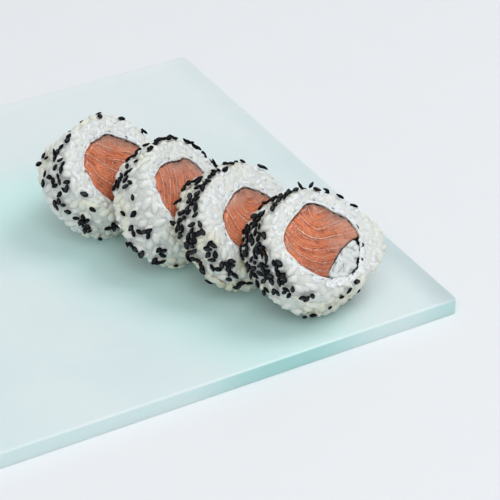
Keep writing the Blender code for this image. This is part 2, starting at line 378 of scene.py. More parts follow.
riceLook = {
    "light": (0.80, 0.825, 0.84),
    "shade": (0.66, 0.70, 0.70),
    "warm": (0.79, 0.78, 0.63),
    # painted shade: olive colour for the creases, near the plate and on shaded sides
    "oliveTintAndShade": (0.36, 0.30, 0.13),
    "roughness": 0.4,
    "softDepth": 0.0008,
}


def riceMaterial(name, look):
    material, tree, shader = newMaterial(name)
    place = objectPoint(tree)
    mottle = noiseOf(tree, place, 620.0, 4.0)
    tone = attribute(tree, "tone")
    blend = math2(tree, "ADD", math2(tree, "MULTIPLY", tone, 0.7), math2(tree, "MULTIPLY", mottle, 0.45), True)
    body = mixColour(tree, blend, look["shade"], look["light"])
    body = mixColour(tree, attribute(tree, "warm"), body, look["warm"])
    # painted shade: olive colour in creases, near the plate and on shaded sides
    oliveTintAndShade = math2(tree, "MULTIPLY", attribute(tree, "oliveTintAndShade"), mapRange(tree, noiseOf(tree, place, 260.0), 0.3, 0.7, 0.5, 1.0))
    colour = mixColour(tree, oliveTintAndShade, body, look["oliveTintAndShade"])
    tree.links.new(colour, shader.inputs["Base Color"])
    wet = mapRange(tree, noiseOf(tree, place, 300.0, 2.0), 0.35, 0.7, look["roughness"] - 0.08, look["roughness"] + 0.14)
    tree.links.new(wet, shader.inputs["Roughness"])
    shader.subsurface_method = "BURLEY"
    shader.inputs["Subsurface Weight"].default_value = 0.7
    shader.inputs["Subsurface Radius"].default_value = (1.0, 0.95, 0.8)
    shader.inputs["Subsurface Scale"].default_value = look["softDepth"]
    shader.inputs["Coat Weight"].default_value = 0.12
    shader.inputs["Coat Roughness"].default_value = 0.2
    fine = noiseOf(tree, place, 1500.0, 3.0)
    tree.links.new(bumpOf(tree, fine, 0.35, 0.00012), shader.inputs["Normal"])
    return material


seedLook = {
    "black": (0.002, 0.002, 0.003),
    # partly painted sheen: the grey husk colour is laid in the middle of each seed
    "grey": (0.050, 0.053, 0.060),
    "brown": (0.075, 0.035, 0.016),
    "roughness": 0.5,
    "gloss": 0.06,
}


def seedMaterial(name, look):
    material, tree, shader = newMaterial(name)
    place = objectPoint(tree)
    tone = attribute(tree, "tone")
    streak = noiseOf(tree, place, 1400.0, 3.0)
    # painted sheen: each seed is lighter in the middle of its broad face and black towards its rim
    middle = mapRange(tree, attribute(tree, "outward"), 0.5, 0.8, 1.0, 0.0)
    huskAndSheen = mixColour(tree, mapRange(tree, tone, 0.982, 0.985), look["grey"], look["brown"])
    share = math2(tree, "MULTIPLY", mapRange(tree, streak, 0.3, 0.65, 0.45, 1.0), mapRange(tree, tone, 0.15, 0.75, 0.3, 1.0))
    colour = mixColour(tree, math2(tree, "MULTIPLY", share, middle), look["black"], huskAndSheen)
    tree.links.new(colour, shader.inputs["Base Color"])
    tree.links.new(mapRange(tree, streak, 0.3, 0.7, look["roughness"] - 0.06, look["roughness"] + 0.12), shader.inputs["Roughness"])
    tree.links.new(bumpOf(tree, streak, 0.3, 0.0001), shader.inputs["Normal"])
    shader.inputs["Specular IOR Level"].default_value = look["gloss"]
    return material


noriLook = {"dark": (0.004, 0.004, 0.003), "light": (0.028, 0.020, 0.012), "roughness": 0.5}


def noriMaterial(name, look):
    material, tree, shader = newMaterial(name)
    place = objectPoint(tree)
    crinkle = noiseOf(tree, place, 900.0, 5.0)
    tree.links.new(mixColour(tree, crinkle, look["dark"], look["light"]), shader.inputs["Base Color"])
    tree.links.new(mapRange(tree, crinkle, 0.3, 0.7, look["roughness"] - 0.12, look["roughness"] + 0.15), shader.inputs["Roughness"])
    tree.links.new(bumpOf(tree, crinkle, 0.6, 0.0002), shader.inputs["Normal"])
    return material


# the "layer" attribute counts from one fat line to the next across the cut, whole numbers on the lines
salmonLook = {
    "deep": (0.30, 0.032, 0.005),
    "flesh": (0.77, 0.198, 0.058),
    "pale": (0.60, 0.30, 0.215),
    "fat": (0.93, 0.56, 0.38),
    # painted highlight: pale flecks for wet glints
    "paintedGlint": (0.94, 0.76, 0.66),
    # deeper red flesh and painted shade towards the bottom of the fish
    "dark": (0.26, 0.06, 0.025),
    "skin": (0.09, 0.04, 0.025),
    "roughness": 0.32,
}


def salmonMaterial(name, look):
    material, tree, shader = newMaterial(name)
    place = objectPoint(tree)
    layer = attribute(tree, "layer")
    wobble = noiseOf(tree, place, 160.0, 3.0)
    shiver = noiseOf(tree, place, 900.0, 3.0)
    ring = math2(tree, "ADD", layer, math2(tree, "MULTIPLY", wobble, 0.34))
    ring = math2(tree, "ADD", ring, math2(tree, "MULTIPLY", shiver, 0.20))
    ring = math2(tree, "SUBTRACT", ring, 0.27)
    after = math2(tree, "FRACT", ring)
    # fine strands that run along the layers
    split = node(tree, "ShaderNodeSeparateXYZ", None, {0: place})
    across = node(tree, "ShaderNodeCombineXYZ", None, {0: math2(tree, "MULTIPLY", ring, 11.0), 1: math2(tree, "MULTIPLY", split.outputs[0], 170.0), 2: math2(tree, "MULTIPLY", split.outputs[1], 170.0)})
    strands = noiseOf(tree, across.outputs[0], 1.0, 3.0, 0.6)
    stripes = bands(tree, after, [(0.0, 1.0), (0.04, 0.9), (0.07, 0.0), (0.13, 0.0), (0.16, 0.45), (0.19, 0.4), (0.22, 0.0), (0.5, 0.0), (0.54, 0.45), (0.58, 0.0), (0.93, 0.0), (0.96, 0.9), (1.0, 1.0)])
    patchy = mapRange(tree, noiseOf(tree, place, 260.0, 3.0), 0.36, 0.56, 0.2, 1.0)
    blotch = noiseOf(tree, place, 360.0, 4.0, 0.7)
    grit = noiseOf(tree, place, 1900.0, 2.0, 0.6)
    light = math2(tree, "MULTIPLY", stripes, patchy)
    tone = math2(tree, "ADD", math2(tree, "MULTIPLY", strands, 1.2), math2(tree, "MULTIPLY", blotch, 0.7))
    tone = math2(tree, "ADD", tone, math2(tree, "MULTIPLY", grit, 0.4))
    tone = math2(tree, "ADD", tone, math2(tree, "MULTIPLY", light, 0.3))
    flesh = mixColour(tree, mapRange(tree, tone, 0.88, 1.28), look["deep"], look["flesh"])
    groove = bands(tree, after, [(0.0, 0.0), (0.05, 0.0), (0.09, 1.0), (0.13, 0.8), (0.28, 0.0), (0.84, 0.0), (0.92, 0.7), (0.94, 0.0), (1.0, 0.0)])
    flesh = mixColour(tree, math2(tree, "MULTIPLY", groove, patchy), flesh, look["deep"])
    fat = math2(tree, "MULTIPLY", light, mapRange(tree, blotch, 0.32, 0.55, 0.4, 1.0))
    flesh = mixColour(tree, fat, flesh, look["fat"])
    # darker towards the bottom: partly deeper red flesh, partly painted shade
    flesh = mixColour(tree, attribute(tree, "low"), flesh, look["dark"])
    flesh = mixColour(tree, math2(tree, "MULTIPLY", attribute(tree, "pale"), mapRange(tree, blotch, 0.35, 0.65, 0.55, 1.0)), flesh, look["pale"])
    # painted highlight: small pale flecks stand in for wet glints
    glintSpots = math2(tree, "MULTIPLY", mapRange(tree, grit, 0.58, 0.68), mapRange(tree, noiseOf(tree, place, 300.0, 2.0), 0.42, 0.58))
    flesh = mixColour(tree, math2(tree, "MULTIPLY", glintSpots, 0.7), flesh, look["paintedGlint"])
    rimNoise = mapRange(tree, noiseOf(tree, place, 420.0, 3.0), 0.3, 0.65, 0.4, 1.0)
    rim = math2(tree, "MULTIPLY", attribute(tree, "rimward"), rimNoise)
    tree.links.new(mixColour(tree, rim, flesh, look["skin"]), shader.inputs["Base Color"])
    tree.links.new(mapRange(tree, blotch, 0.3, 0.7, look["roughness"] - 0.08, look["roughness"] + 0.12), shader.inputs["Roughness"])
    shader.inputs["Subsurface Weight"].default_value = 0.2
    shader.inputs["Subsurface Radius"].default_value = (1.0, 0.35, 0.2)
    shader.inputs["Subsurface Scale"].default_value = 0.0008
    shader.inputs["Coat Weight"].default_value = 0.6
    shader.inputs["Coat Roughness"].default_value = 0.08
    lift = math2(tree, "ADD", math2(tree, "MULTIPLY", light, 0.5), math2(tree, "MULTIPLY", strands, 0.8))
    lift = math2(tree, "ADD", lift, math2(tree, "MULTIPLY", grit, 0.5))
    tree.links.new(bumpOf(tree, lift, 0.9, 0.0006), shader.inputs["Normal"])
    return material


plateLook = {
    "face": (0.76, 0.895, 0.915),
    # partly the frost's cloudy tone, partly painted reflection towards the back and along the back edge
    "bright": (0.87, 0.95, 0.975),
    # painted shadow: teal, lighter glass round the rolls' feet
    "shadowTeal": (0.68, 0.995, 0.965),
    "shadowFrom": (0.052, 0.020), "shadowTo": (0.086, -0.078),
    "edge": (0.74, 0.93, 0.93),
    # painted shade: deeper teal on the walls in front of the rolls, near the left end and towards the right corner
    "edgeDeep": (0.42, 0.76, 0.74),
    # painted shade: grey towards the right edge by the front corner
    "grey": (0.50, 0.62, 0.63),
    "roughness": 0.42,
    "transmission": 0.1,
    "glow": 0.3,
    "edgeBand": 0.0065,
}


def rollShadowTint(tree, split, look):
    # painted shadow: a teal, lighter glass colour round the rolls' feet: 1 at the line they stand along, 0 some way off
    startX, startY = look["shadowFrom"]
    alongX, alongY = look["shadowTo"][0] - startX, look["shadowTo"][1] - startY
    length = math.hypot(alongX, alongY)
    alongX, alongY = alongX / length, alongY / length
    x = math2(tree, "SUBTRACT", split.outputs[0], startX)
    y = math2(tree, "SUBTRACT", split.outputs[1], startY)
    travel = math2(tree, "ADD", math2(tree, "MULTIPLY", x, alongX), math2(tree, "MULTIPLY", y, alongY))
    beyond = math2(tree, "MAXIMUM", math2(tree, "SUBTRACT", travel, length), math2(tree, "MULTIPLY", travel, -1.0))
    beyond = math2(tree, "MAXIMUM", beyond, 0.0)
    aside = math2(tree, "SUBTRACT", math2(tree, "MULTIPLY", x, alongY), math2(tree, "MULTIPLY", y, alongX))
    away = math2(tree, "SQRT", math2(tree, "ADD", math2(tree, "MULTIPLY", beyond, beyond), math2(tree, "MULTIPLY", aside, aside)))
    return mapRange(tree, away, 0.010, 0.045, 1.0, 0.0)


def plateMaterial(name, look):
    material, tree, shader = newMaterial(name)
    place = objectPoint(tree)
    split = node(tree, "ShaderNodeSeparateXYZ", None, {0: place})
    grain = noiseOf(tree, place, 2600.0, 2.0)
    cloud = noiseOf(tree, place, 22.0, 3.0)
    wallward = mapRange(tree, split.outputs[2], plateTop - 0.0008, plateTop - 0.0001, 1.0, 0.0)
    body = mixColour(tree, mapRange(tree, cloud, 0.35, 0.65, 0.0, 0.45), look["face"], look["bright"])
    # painted reflection: lighter towards the back of the plate and in a band along its back edge
    body = mixColour(tree, mapRange(tree, split.outputs[1], 0.0, 0.09, 0.0, 0.7), body, look["bright"])
    backReflection = mapRange(tree, split.outputs[1], cadBox[1][1] - look["edgeBand"], cadBox[1][1] - look["edgeBand"] + 0.0015)
    body = mixColour(tree, math2(tree, "MULTIPLY", backReflection, 0.6), body, look["bright"])
    # painted shade: grey towards the right edge, strongest at the front corner
    cornerShade = math2(tree, "MULTIPLY", mapRange(tree, split.outputs[0], cadBox[1][0] - 0.013, cadBox[1][0]), mapRange(tree, split.outputs[1], cadBox[0][1] + 0.005, cadBox[0][1] + 0.07, 1.0, 0.25))
    body = mixColour(tree, math2(tree, "MULTIPLY", cornerShade, 0.75), body, look["grey"])
    # painted shadow: teal, lighter glass round the rolls' feet
    body = mixColour(tree, rollShadowTint(tree, split, look), body, look["shadowTeal"])
    speck = mapRange(tree, grain, 0.25, 0.75, -0.03, 0.06)
    # painted shade: deeper teal walls in front of the rolls, near the left end and towards the right corner
    rollShadeOnWall = math2(tree, "ABSOLUTE", math2(tree, "SUBTRACT", split.outputs[0], 0.082))
    deepLeft = math2(tree, "ABSOLUTE", math2(tree, "ADD", split.outputs[0], 0.095))
    deep = math2(tree, "MAXIMUM", mapRange(tree, rollShadeOnWall, 0.006, 0.042, 1.0, 0.0), mapRange(tree, deepLeft, 0.0, 0.05, 0.7, 0.0))
    deep = math2(tree, "MAXIMUM", deep, mapRange(tree, split.outputs[0], 0.128, 0.15, 0.0, 0.55))
    wall = mixColour(tree, deep, look["edge"], look["edgeDeep"])
    colour = mixColour(tree, wallward, body, wall)
    colour = mixColour(tree, math2(tree, "ADD", speck, 0.03), colour, (1.0, 1.0, 1.0))
    tree.links.new(colour, shader.inputs["Base Color"])
    tree.links.new(mapRange(tree, grain, 0.3, 0.7, look["roughness"] - 0.05, look["roughness"] + 0.05), shader.inputs["Roughness"])
    shader.inputs["Transmission Weight"].default_value = look["transmission"]
    shader.inputs["Subsurface Weight"].default_value = look["glow"]
    shader.inputs["Subsurface Radius"].default_value = (0.7, 1.0, 1.0)
    shader.inputs["Subsurface Scale"].default_value = 0.003
    shader.inputs["IOR"].default_value = 1.5
    tree.links.new(bumpOf(tree, grain, 0.15, 0.00005), shader.inputs["Normal"])
    return material


riceStuff = riceMaterial("cookedRice", riceLook)
seedStuff = seedMaterial("blackSesame", seedLook)
noriStuff = noriMaterial("nori", noriLook)
salmonStuff = salmonMaterial("rawSalmon", salmonLook)
plateStuff = plateMaterial("frostedGlass", plateLook)
print("materials ready")

# ---- plate: the solid is right as it is, it gets its glass ----

plate = nodes["glass_plate"]
plate.data.materials.clear()
plate.data.materials.append(plateStuff)


# ---- shapes that repeat: modelled once, then copied as joined meshes ----

def moveEnd(piece, chosen, scale=(1, 1, 1), shift=(0, 0, 0)):
    makeActive(piece)
    for vertex in piece.data.vertices:
        vertex.select = chosen(vertex.co)
    for part in list(piece.data.edges) + list(piece.data.polygons):
        part.select = False
    bpy.ops.object.mode_set(mode="EDIT")
    bpy.ops.transform.resize(value=scale, center_override=(0, 0, 0))
    bpy.ops.transform.translate(value=shift)
    bpy.ops.object.mode_set(mode="OBJECT")


def modelBean(name, size, segments, ringCount, blunt, point, bend):
    deselectAll()
    bpy.ops.mesh.primitive_uv_sphere_add(segments=segments, ring_count=ringCount, radius=0.5)
    piece = bpy.context.active_object
    piece.name = name
    moveEnd(piece, lambda co: abs(co.z) < 0.45, (blunt, blunt, 1.0))
    moveEnd(piece, lambda co: co.z > 0.2, (point, point, 1.0))
    moveEnd(piece, lambda co: abs(co.z) > 0.2, (1, 1, 1), (0.0, -bend, 0.0))
    moveEnd(piece, lambda co: True, size)
    return piece


grainSize = {"length": 0.0053, "width": 0.0029, "thickness": 0.0025}
seedSize = {"length": 0.0031, "width": 0.0018, "thickness": 0.0010}

grainBody = (grainSize["width"], grainSize["thickness"], grainSize["length"])
grainShapes = [
    modelBean("grainPlump", grainBody, 8, 6, 1.08, 0.92, 0.03),
    modelBean("grainBent", grainBody, 8, 6, 1.04, 0.86, 0.12),
    modelBean("grainLean", grainBody, 8, 6, 1.0, 0.8, 0.07),
]
seedBody = (seedSize["width"], seedSize["thickness"], seedSize["length"])
seedShapes = [modelBean("seedShape", seedBody, 8, 6, 1.05, 0.78, 0.0)]





def arraysOf(piece):
    faces = [tuple(face.vertices) for face in piece.data.polygons]
    return pointsOf(piece.data), faces


def joinCopies(name, shapes, copies, fit):
    # copies: (shape number, turn, size, middle, values); fit moves the points to where they may be
    kinds = [arraysOf(shape) for shape in shapes]
    outlines = [np.hypot(base[:, 0] / np.max(base[:, 0]), base[:, 2] / np.max(base[:, 2])) for base, _ in kinds]
    points, faces, owners, outward = [], [], [], []
    start = 0
    for number, (kind, turn, size, middle, values) in enumerate(copies):
        base, baseFaces = kinds[kind]
        points.append((base * size) @ turn.T + middle)
        faces.extend([tuple(corner + start for corner in face) for face in baseFaces])
        owners.append(np.full(len(base), number))
        outward.append(outlines[kind])
        start += len(base)
    owners = np.concatenate(owners)
    points = fit(np.concatenate(points), owners)
    mesh = bpy.data.meshes.new(name)
    mesh.from_pydata(points.tolist(), [], faces)
    for key in copies[0][4]:
        setValues(mesh, key, np.array([values[key] for _, _, _, _, values in copies])[owners])
    setValues(mesh, "outward", np.concatenate(outward))
    mesh.polygons.foreach_set("use_smooth", [True] * len(mesh.polygons))
    mesh.update()
    piece = bpy.data.objects.new(name, mesh)
    bpy.context.scene.collection.objects.link(piece)
    return piece


def solidCopy(name, nodeName):
    piece = bpy.data.objects.new(name, nodes[nodeName].data.copy())
    bpy.context.scene.collection.objects.link(piece)
    makeActive(piece)
    if piece.data.has_custom_normals:
        bpy.ops.mesh.customdata_custom_splitnormals_clear()
    bpy.ops.object.mode_set(mode="EDIT")
    bpy.ops.mesh.select_all(action="SELECT")
    bpy.ops.mesh.remove_doubles(threshold=0.000002)
    bpy.ops.mesh.normals_make_consistent(inside=False)
    bpy.ops.object.mode_set(mode="OBJECT")
    return piece


def evenMesh(piece, size):
    remesh = piece.modifiers.new("evenMesh", "REMESH")
    remesh.mode = "VOXEL"
    remesh.voxel_size = size
    remesh.use_smooth_shade = True
    applyAll(piece)


def roughen(piece, size, height, kind="CLOUDS"):
    clouds = bpy.data.textures.new(piece.name + "Rough", kind)
    clouds.noise_scale = size
    displace = piece.modifiers.new("rough", "DISPLACE")
    displace.texture = clouds
    displace.texture_coords = "LOCAL"
    displace.strength = height
    displace.mid_level = 0.5
    applyAll(piece)
    bpy.data.textures.remove(clouds)


# ---- rice: a smaller core, and real grains pressed all over it ----

# each layer: how near the grains may come, how far below the surface they lie
riceHeap = {
    "coreIn": 0.00125,
    "coreDown": 0.00022,
    "coreVoxel": 0.00055,
    "dips": 0.0005,
    "layers": [(0.0022, 0.00115), (0.0015, 0.0015)],
    "tries": 2200,
    "reach": 0.0014,
    "faceReach": 0.0010,
    "mouthOpen": 0.12,
    "seed": 11,
}


def polar(points):
    return np.hypot(points[:, 0], points[:, 1]), np.arctan2(points[:, 1], points[:, 0])


def softCap(values, limit, softness):
    # values stay as they are well below the limit and level off at it
    return limit - softness * np.logaddexp(0.0, (limit - values) / softness)


def creaseShadeAt(rollName, worldPoints):
    # painted shade: darker, olive rice down in the creases between two rolls
    amount = np.zeros(len(worldPoints))
    number = rollNames.index(rollName)
    if number > 0:
        before = rolls[rollNames[number - 1]]
        height = toRoll(before, worldPoints)[:, 2] - before["depth"]
        amount = 1.0 - smoothStep(height, 0.0006, 0.0042)
    if number < len(rollNames) - 1:
        after = rolls[rollNames[number + 1]]
        local = toRoll(after, worldPoints)
        radius, angle = polar(local)
        near = radius - lookUp(after, "rim", angle)
        inside = smoothStep(local[:, 2], -0.008, -0.001)
        amount = np.maximum(amount, (1.0 - smoothStep(near, 0.0008, 0.0052)) * inside)
    return amount


def dipsAt(points):
    # slow hollows in the cut faces
    waves = np.array([noise.noise(Vector((p[0] * 330.0, p[1] * 330.0, 7.0))) for p in points])
    return riceHeap["dips"] * smoothStep(waves, 0.0, 0.55)


def keepInPlace(rollName, lifts, drops):
    roll = rolls[rollName]
    number = rollNames.index(rollName)

    def fit(points, owners):
        top = roll["depth"] - 0.00004 - lifts[owners]
        capped = softCap(points[:, 2], top, 0.00016)
        points[:, 2] = capped + np.clip(points[:, 2] - top, 0.0, 0.004) * 0.05
        bottom = 0.00004 + drops[owners]
        capped = -softCap(-points[:, 2], -bottom, 0.00016)
        points[:, 2] = capped - np.clip(bottom - points[:, 2], 0.0, 0.004) * 0.05
        points[:, 2] = np.clip(points[:, 2], 0.00001, roll["depth"] - 0.00001)
        radius, angle = polar(points)
        over = smoothStep(points[:, 2], roll["depth"] - 0.0011, roll["depth"] - 0.0006)
        hole = lookUp(roll, "hole", angle) + 0.00006
        reach = lookUp(roll, "mouth", angle)
        inner = hole + (np.minimum(reach, hole) - hole) * over
        wanted = np.maximum(radius, inner)
        wanted = softCap(wanted, sideAt(roll, angle, points[:, 2]) + 0.0003, 0.0002)
        points[:, :2] *= (wanted / np.maximum(radius, 1e-6))[:, None]
        world = toWorld(roll, points)
        floor = plateTop + 0.00006
        world[:, 2] = np.where(world[:, 2] < floor, floor + 0.00001, world[:, 2])
        if number > 0:
            before = rolls[rollNames[number - 1]]
            local = toRoll(before, world)
            local[:, 2] = np.maximum(local[:, 2], before["depth"] + 0.00018)
            world = toWorld(before, local)
        world[:, 2] = np.minimum(world[:, 2], cadBox[1][2] - 0.00003)
        return world

    return fit


def turnFrom(axis, sideways):
    # long way of a grain along axis, its thin way along sideways as far as it can
    z = axis / np.linalg.norm(axis)
    y = sideways - z * np.dot(sideways, z)
    y = y / max(np.linalg.norm(y), 1e-9)
    return np.stack([np.cross(y, z), y, z], axis=1)


def spread(candidates, gap):
    kept = []
    for number, point in enumerate(candidates):
        if kept and np.min(np.sum((candidates[kept] - point) ** 2, axis=1)) < gap * gap:
            continue
        kept.append(number)
    return kept


def riceCore(rollName, look):
    roll = rolls[rollName]
    piece = solidCopy(rollName + "_riceCore", rollName + "_rice")
    evenMesh(piece, look["coreVoxel"])
    local = toRoll(roll, pointsOf(piece.data))
    radius, angle = polar(local)
    depth = roll["depth"]
    down = look["coreDown"]
    down = down + dipsAt(local)
    local[:, 2] += down * (1.0 - smoothStep(local[:, 2], 0.0, 0.0025)) - down * smoothStep(local[:, 2], depth - 0.0025, depth)
    outward = smoothStep(radius - lookUp(roll, "hole", angle), 0.0012, 0.0032)
    local[:, :2] *= ((radius + (swellAt(roll, angle, local[:, 2]) - look["coreIn"]) * outward) / radius)[:, None]
    setPoints(piece.data, toWorld(roll, local))
    roughen(piece, 0.0021, -0.00035, "VORONOI")
    setValues(piece.data, "tone", np.full(len(piece.data.vertices), 0.35))
    setValues(piece.data, "warm", np.full(len(piece.data.vertices), 0.25))
    # painted shade: olive in the creases between rolls, over a faint olive tint everywhere
    setValues(piece.data, "oliveTintAndShade", creaseShadeAt(rollName, pointsOf(piece.data)) * 0.9 + 0.08)
    settle(piece, [riceStuff], [rollName + "_rice"])
    return piece


def grainValues(random, rollName, world, onSide):
    oliveTintAndShade = float(creaseShadeAt(rollName, world.reshape(1, 3))[0])
    low = 1.0 - float(smoothStep(world[2] - plateTop, 0.001, 0.018))
    patch = float(smoothStep(noise.noise(Vector(world) * 95.0), -0.1, 0.4))
    # painted shade: side grains get a darker tone than cut-face grains, and more warm and olive colour near the plate
    # and on each roll's shaded side
    if onSide:
        tone = random.uniform(0.2, 0.8)
        warm = 0.25 + 0.45 * patch + 0.2 * low
        oliveTintAndShade = oliveTintAndShade * random.uniform(0.35, 0.95) + (rolls[rollName]["sideShade"] + 0.22 * low) * random.uniform(0.3, 1.0)
    else:
        tone = random.uniform(0.35, 1.0)
        warm = 0.35 * patch * random.uniform(0.3, 1.0)
        oliveTintAndShade = oliveTintAndShade * random.uniform(0.35, 0.95)
    return {"tone": tone, "warm": warm, "oliveTintAndShade": oliveTintAndShade}


def packIn(taken, middle, axis, gap, reach):
    # a grain is three points along its length; it's kept when none is too near a grain already there
    trio = middle + np.array([[-reach], [0.0], [reach]]) * axis
    apart = taken["points"][:taken["count"], None, :] - trio
    if taken["count"] and np.min(np.sum(apart ** 2, axis=2)) < gap * gap:
        return False
    taken["points"][taken["count"]:taken["count"] + 3] = trio
    taken["count"] += 3
    return True


def sideGrains(rollName, random, look, taken, gap, sink):
    roll = rolls[rollName]
    angles = random.uniform(0, 2 * math.pi, look["tries"])
    heights = random.uniform(0.0003, roll["depth"] - 0.0003, look["tries"])

    def spot(angle, height):
        radius = sideAt(roll, angle, height)
        return np.stack([radius * np.cos(angle), radius * np.sin(angle), height], axis=1)

    spots = spot(angles, heights)
    along = spot(angles + 0.05, heights) - spot(angles - 0.05, heights)
    along /= np.linalg.norm(along, axis=1)[:, None]
    up = spot(angles, np.minimum(heights + 0.0008, roll["depth"])) - spot(angles, np.maximum(heights - 0.0008, 0.0))
    up /= np.linalg.norm(up, axis=1)[:, None]
    normals = np.cross(along, up)
    normals /= np.linalg.norm(normals, axis=1)[:, None]
    grains = []
    for number in range(look["tries"]):
        lie = random.uniform(0, 2 * math.pi)
        normal = normals[number]
        axis = math.cos(lie) * along[number] + math.sin(lie) * up[number] + normal * random.normal(0.0, 0.12)
        axis /= np.linalg.norm(axis)
        middle = spots[number] - normal * (sink + random.uniform(-0.00015, 0.0003))
        if not packIn(taken, middle, axis, gap, look["reach"]):
            continue
        thin = normal + along[number] * random.normal(0.0, 0.25) + up[number] * random.normal(0.0, 0.25)
        size = random.uniform(0.88, 1.1) * np.array([random.uniform(0.95, 1.08), 1.0, random.uniform(0.9, 1.08)])
        values = grainValues(random, rollName, toWorld(roll, middle.reshape(1, 3))[0], True)
        grains.append((int(random.integers(3)), turnFrom(axis, thin), size, middle, values))
    return grains


def mouthGrains(rollName, random, look):
    # a ring of grains round the fish, leaning in over the wrap
    roll = rolls[rollName]
    grains = []
    angle = random.uniform(0.0, 0.2)
    while angle < 2 * math.pi:
        hole = float(lookUp(roll, "hole", np.array([angle]))[0])
        angle += random.uniform(0.0013, 0.0026) / hole
        if random.uniform() < look["mouthOpen"]:
            continue
        radius = hole + random.uniform(-0.0002, 0.0006)
        middle = np.array([radius * math.cos(angle), radius * math.sin(angle), roll["depth"] - random.uniform(0.0003, 0.0008)])
        axis = random.normal(0.0, 1.0, 3) * np.array([1.0, 1.0, 0.35])
        size = random.uniform(0.75, 1.0) * np.ones(3)
        values = grainValues(random, rollName, toWorld(roll, middle.reshape(1, 3))[0], False)
        grains.append((int(random.integers(3)), turnFrom(axis, random.normal(0.0, 1.0, 3)), size, middle, values))
    return grains


def faceGrains(rollName, random, look, taken, gap, sink, front):
    roll = rolls[rollName]
    tries = look["tries"]
    angles = random.uniform(0, 2 * math.pi, tries)
    share = np.sqrt(random.uniform(0.0, 1.0, tries))
    inner = lookUp(roll, "hole", angles) + 0.0006
    outer = lookUp(roll, "rim" if front else "backRim", angles) - 0.0006
    radii = inner + (outer - inner) * share
    level = roll["depth"] if front else 0.0
    spots = np.stack([radii * np.cos(angles), radii * np.sin(angles), np.full(tries, level)], axis=1)
    grains = []
    for number in range(tries):
        axis = random.normal(0.0, 1.0, 3) * np.array([1.0, 1.0, 0.8])
        axis /= np.linalg.norm(axis)
        below = sink + random.uniform(-0.0003, 0.0002)
        middle = spots[number] - np.array([0.0, 0.0, below if front else -below])
        if not packIn(taken, middle, axis, gap * 0.88, look["faceReach"]):
            continue
        size = random.uniform(0.76, 1.08) * np.ones(3)
        values = grainValues(random, rollName, toWorld(roll, middle.reshape(1, 3))[0], False)
        grains.append((int(random.integers(3)), turnFrom(axis, random.normal(0.0, 1.0, 3)), size, middle, values))
    return grains


for number, rollName in enumerate(rollNames):
    random = np.random.default_rng(riceHeap["seed"] + number)
    riceCore(rollName, riceHeap)
    taken = {"points": np.zeros((9000, 3)), "count": 0}
    grains = mouthGrains(rollName, random, riceHeap)
    for gap, sink in riceHeap["layers"]:
        grains += sideGrains(rollName, random, riceHeap, taken, gap, sink)
        grains += faceGrains(rollName, random, riceHeap, taken, gap, sink, True)
        grains += faceGrains(rollName, random, riceHeap, taken, gap, sink, False)
    middles = np.array([grain[3] for grain in grains])
    lifts = random.uniform(0.0, 0.00018, len(grains)) + dipsAt(middles)
    drops = random.uniform(0.0, 0.00018, len(grains)) + dipsAt(middles)
    piece = joinCopies(rollName + "_grains", grainShapes, grains, keepInPlace(rollName, lifts, drops))
    settle(piece, [riceStuff])
    print(rollName, "has", len(grains), "grains")


# ---- rice in the pocket beside the last roll's fish ----

pocketLook = {"from": 234.0, "to": 317.0, "gap": 0.0023, "down": 0.0014, "seed": 5}


def pocketRice(look):
    rollName = "roll_4"
    roll = rolls[rollName]
    core = solidCopy("roll_4_pocketCore", "roll_4_pocket_rice")
    evenMesh(core, 0.0004)
    local = toRoll(roll, pointsOf(core.data))
    local[:, 2] -= look["down"] * smoothStep(local[:, 2], roll["depth"] - 0.003, roll["depth"])
    setPoints(core.data, toWorld(roll, local))
    roughen(core, 0.0016, 0.0003)
    # painted shade: the rice down in the pocket gets the darkest tone and a little olive
    setValues(core.data, "tone", np.full(len(core.data.vertices), 0.0))
    setValues(core.data, "warm", np.zeros(len(core.data.vertices)))
    setValues(core.data, "oliveTintAndShade", np.full(len(core.data.vertices), 0.12))
    settle(core, [riceStuff], ["roll_4_pocket_rice"])
    random = np.random.default_rng(look["seed"])
    tries = 900
    angles = np.radians(random.uniform(look["from"], look["to"], tries))
    inner = lookUp(roll, "meat", angles) + 0.0009
    outer = lookUp(roll, "wrapIn", angles) - 0.0009
    radii = inner + (outer - inner) * random.uniform(0.0, 1.0, tries)
    fits = outer > inner
    spots = np.stack([radii * np.cos(angles), radii * np.sin(angles), np.full(tries, roll["depth"])], axis=1)[fits]
    grains = []
    for number in spread(spots, look["gap"]):
        axis = np.cross(spots[number], (0.0, 0.0, 1.0)) / 0.013 + random.normal(0.0, 0.5, 3)
        middle = spots[number] - np.array([0.0, 0.0, random.uniform(0.0009, 0.0014)])
        size = random.uniform(0.85, 1.1) * np.ones(3)
        # painted shade: pocket grains darker than all other rice
        values = {"tone": random.uniform(-0.7, 0.0), "warm": 0.0, "oliveTintAndShade": 0.05}
        grains.append((int(random.integers(3)), turnFrom(axis, random.normal(0.0, 1.0, 3)), size, middle, values))
    lifts = random.uniform(0.0001, 0.0004, len(grains))

    def fit(points, owners):
        top = roll["depth"] - lifts[owners]
        points[:, 2] = np.minimum(softCap(points[:, 2], top, 0.00016), roll["depth"])
        radius, angle = polar(points)
        low = lookUp(roll, "meat", angle) + 0.0002
        high = np.maximum(lookUp(roll, "wrapIn", angle) - 0.0001, low)
        points[:, :2] *= (np.clip(radius, low, high) / np.maximum(radius, 1e-6))[:, None]
        return toWorld(roll, points)

    piece = joinCopies("roll_4_pocketGrains", grainShapes, grains, fit)
    settle(piece, [riceStuff])
    print("pocket has", len(grains), "grains")


pocketRice(pocketLook)


# ---- sesame: laid as listed where it shows, thinner where it doesn't ----

seedCoat = {"gap": 0.00135, "overlap": 0.0019, "richness": 1.5, "proud": 0.00012, "stack": 0.00045, "restCount": 34, "seed": 3}


